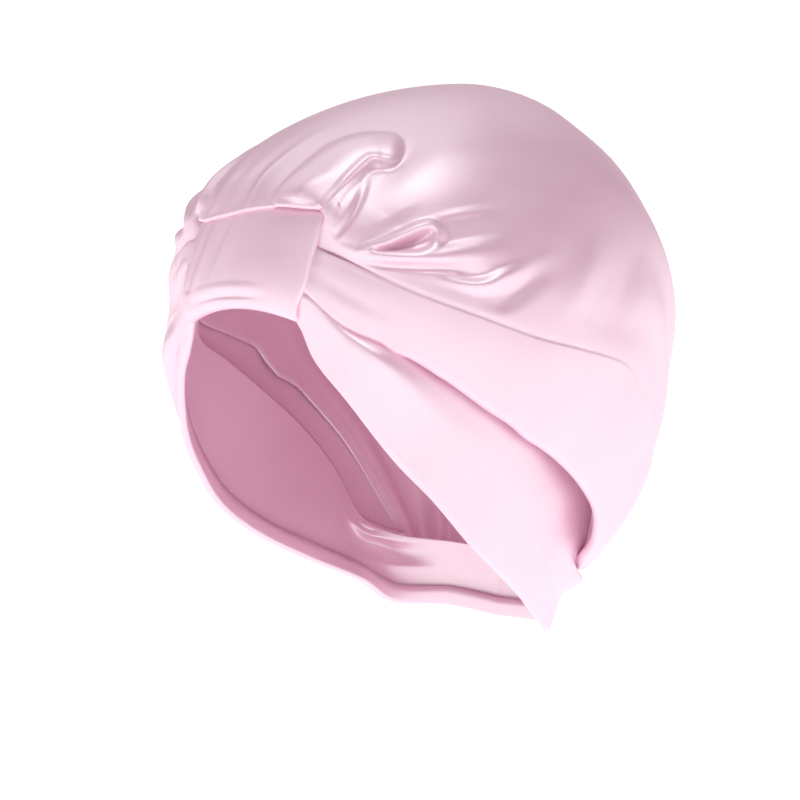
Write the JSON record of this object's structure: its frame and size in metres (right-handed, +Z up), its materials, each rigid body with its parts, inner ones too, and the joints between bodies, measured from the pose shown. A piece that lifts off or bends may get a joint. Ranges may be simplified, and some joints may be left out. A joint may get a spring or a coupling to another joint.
{
  "type": "sleep bonnet",
  "caption": "Soft pink satin sleep bonnet: a puffed turban crown over pleated side drapes and a hem band, all gathered by a flat loop at the forehead.",
  "frame": {"origin": "the middle of the head that wears it, about level with the eyes", "axes": "+X to the wearer's left, -Y out of the face, +Z up"},
  "size_m": [0.1926, 0.2294, 0.2381],
  "materials": {
    "crown_satin": "satin weave, soft sheen",
    "drape_satin": "satin weave, soft sheen",
    "hem_satin": "satin weave, soft sheen",
    "loop_satin": "satin weave, soft sheen"
  },
  "bodies": {
    "root": {"crown": "crown_satin", "drape_left": "drape_satin", "drape_right": "drape_satin", "hem_band": "hem_satin", "knot_loop": "loop_satin"}
  },
  "joints": []
}
